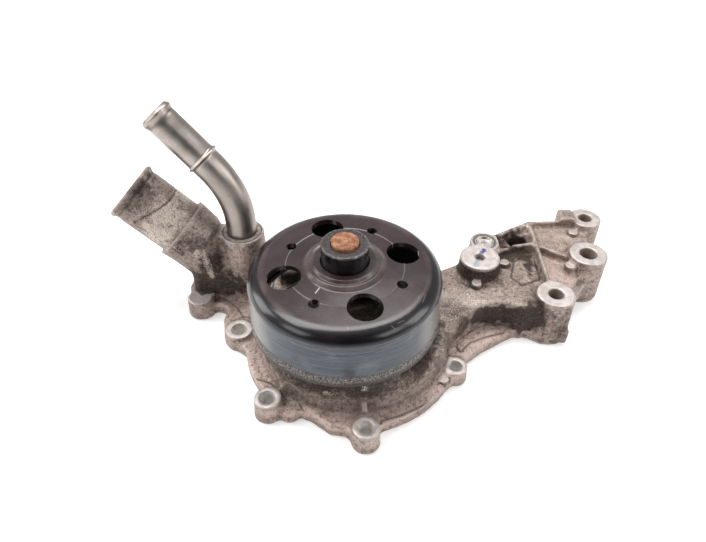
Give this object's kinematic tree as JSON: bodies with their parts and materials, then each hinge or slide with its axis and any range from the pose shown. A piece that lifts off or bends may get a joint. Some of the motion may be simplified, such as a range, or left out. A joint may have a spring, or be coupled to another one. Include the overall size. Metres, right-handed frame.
{
  "type": "engine water pump",
  "caption": "Belt-driven engine coolant pump: cast housing with bolt flange, volute, side arm and bracket, inlet neck, bent heater tube, black cup pulley on a sealed bearing shaft, impeller.",
  "frame": {"origin": "centre of the shaft in the plane of the engine mating face", "axes": "+Z along the shaft towards the pulley, +X towards the bracket end of the arm, +Y away from the front bolt boss"},
  "size_m": [0.3423, 0.1929, 0.1431],
  "materials": {
    "cast_aluminium": "as-cast, grimy, with bright machined faces",
    "pulley_paint": "black paint, worn to blue-grey on the belt band",
    "bare_steel": "ground steel, lightly rusted at the end",
    "bearing_steel": "ground and polished",
    "tube_steel": "satin plated",
    "plug_steel": "zinc plated, dull",
    "gasket_rubber": "moulded",
    "seal_rubber": "moulded",
    "seal_brass": "drawn",
    "seal_carbon": "lapped carbon",
    "seal_ceramic": "lapped ceramic",
    "impeller_plastic": "glass-filled moulding",
    "cage_plastic": "moulded"
  },
  "bodies": {
    "housing": {"bearing_outer_ring": "bearing_steel", "bearing_seal_front": "seal_rubber", "bearing_seal_rear": "seal_rubber", "core_plug": "plug_steel", "heater_tube": "tube_steel", "heater_tube_seal": "seal_rubber", "inlet_gasket": "gasket_rubber", "outlet_gasket": "gasket_rubber", "pump_housing": "cast_aluminium", "seal_bellows": "seal_rubber", "seal_carbon_ring": "seal_carbon", "seal_case": "seal_brass", "seal_spring": "bearing_steel"},
    "rotor": {"pulley": "pulley_paint", "pulley_hub": "pulley_paint", "pump_shaft": "bare_steel", "impeller": "impeller_plastic", "seal_seat_ring": "seal_ceramic", "seal_seat_cup": "seal_rubber"},
    "rear_ball_train": {"ball_cage_rear": "cage_plastic", "ball_rear_1": "bearing_steel", "ball_rear_2": "bearing_steel", "ball_rear_3": "bearing_steel", "ball_rear_4": "bearing_steel", "ball_rear_5": "bearing_steel", "ball_rear_6": "bearing_steel", "ball_rear_7": "bearing_steel"},
    "front_ball_train": {"ball_cage_front": "cage_plastic", "ball_front_1": "bearing_steel", "ball_front_2": "bearing_steel", "ball_front_3": "bearing_steel", "ball_front_4": "bearing_steel", "ball_front_5": "bearing_steel", "ball_front_6": "bearing_steel", "ball_front_7": "bearing_steel"}
  },
  "joints": [
    {"name": "pulley_spin", "type": "hinge", "parent": "housing", "child": "rotor", "pos_m": [0, 0, 0.05], "axis": [0, 0, 1], "continuous": true},
    {"name": "rear_balls_orbit", "type": "hinge", "parent": "housing", "child": "rear_ball_train", "pos_m": [0, 0, 0.0385], "axis": [0, 0, 1], "continuous": true},
    {"name": "front_balls_orbit", "type": "hinge", "parent": "housing", "child": "front_ball_train", "pos_m": [0, 0, 0.0555], "axis": [0, 0, 1], "continuous": true}
  ],
  "couplings": [
    {"joint": "rear_balls_orbit", "follows": "pulley_spin", "ratio": 0.332},
    {"joint": "front_balls_orbit", "follows": "pulley_spin", "ratio": 0.332}
  ]
}
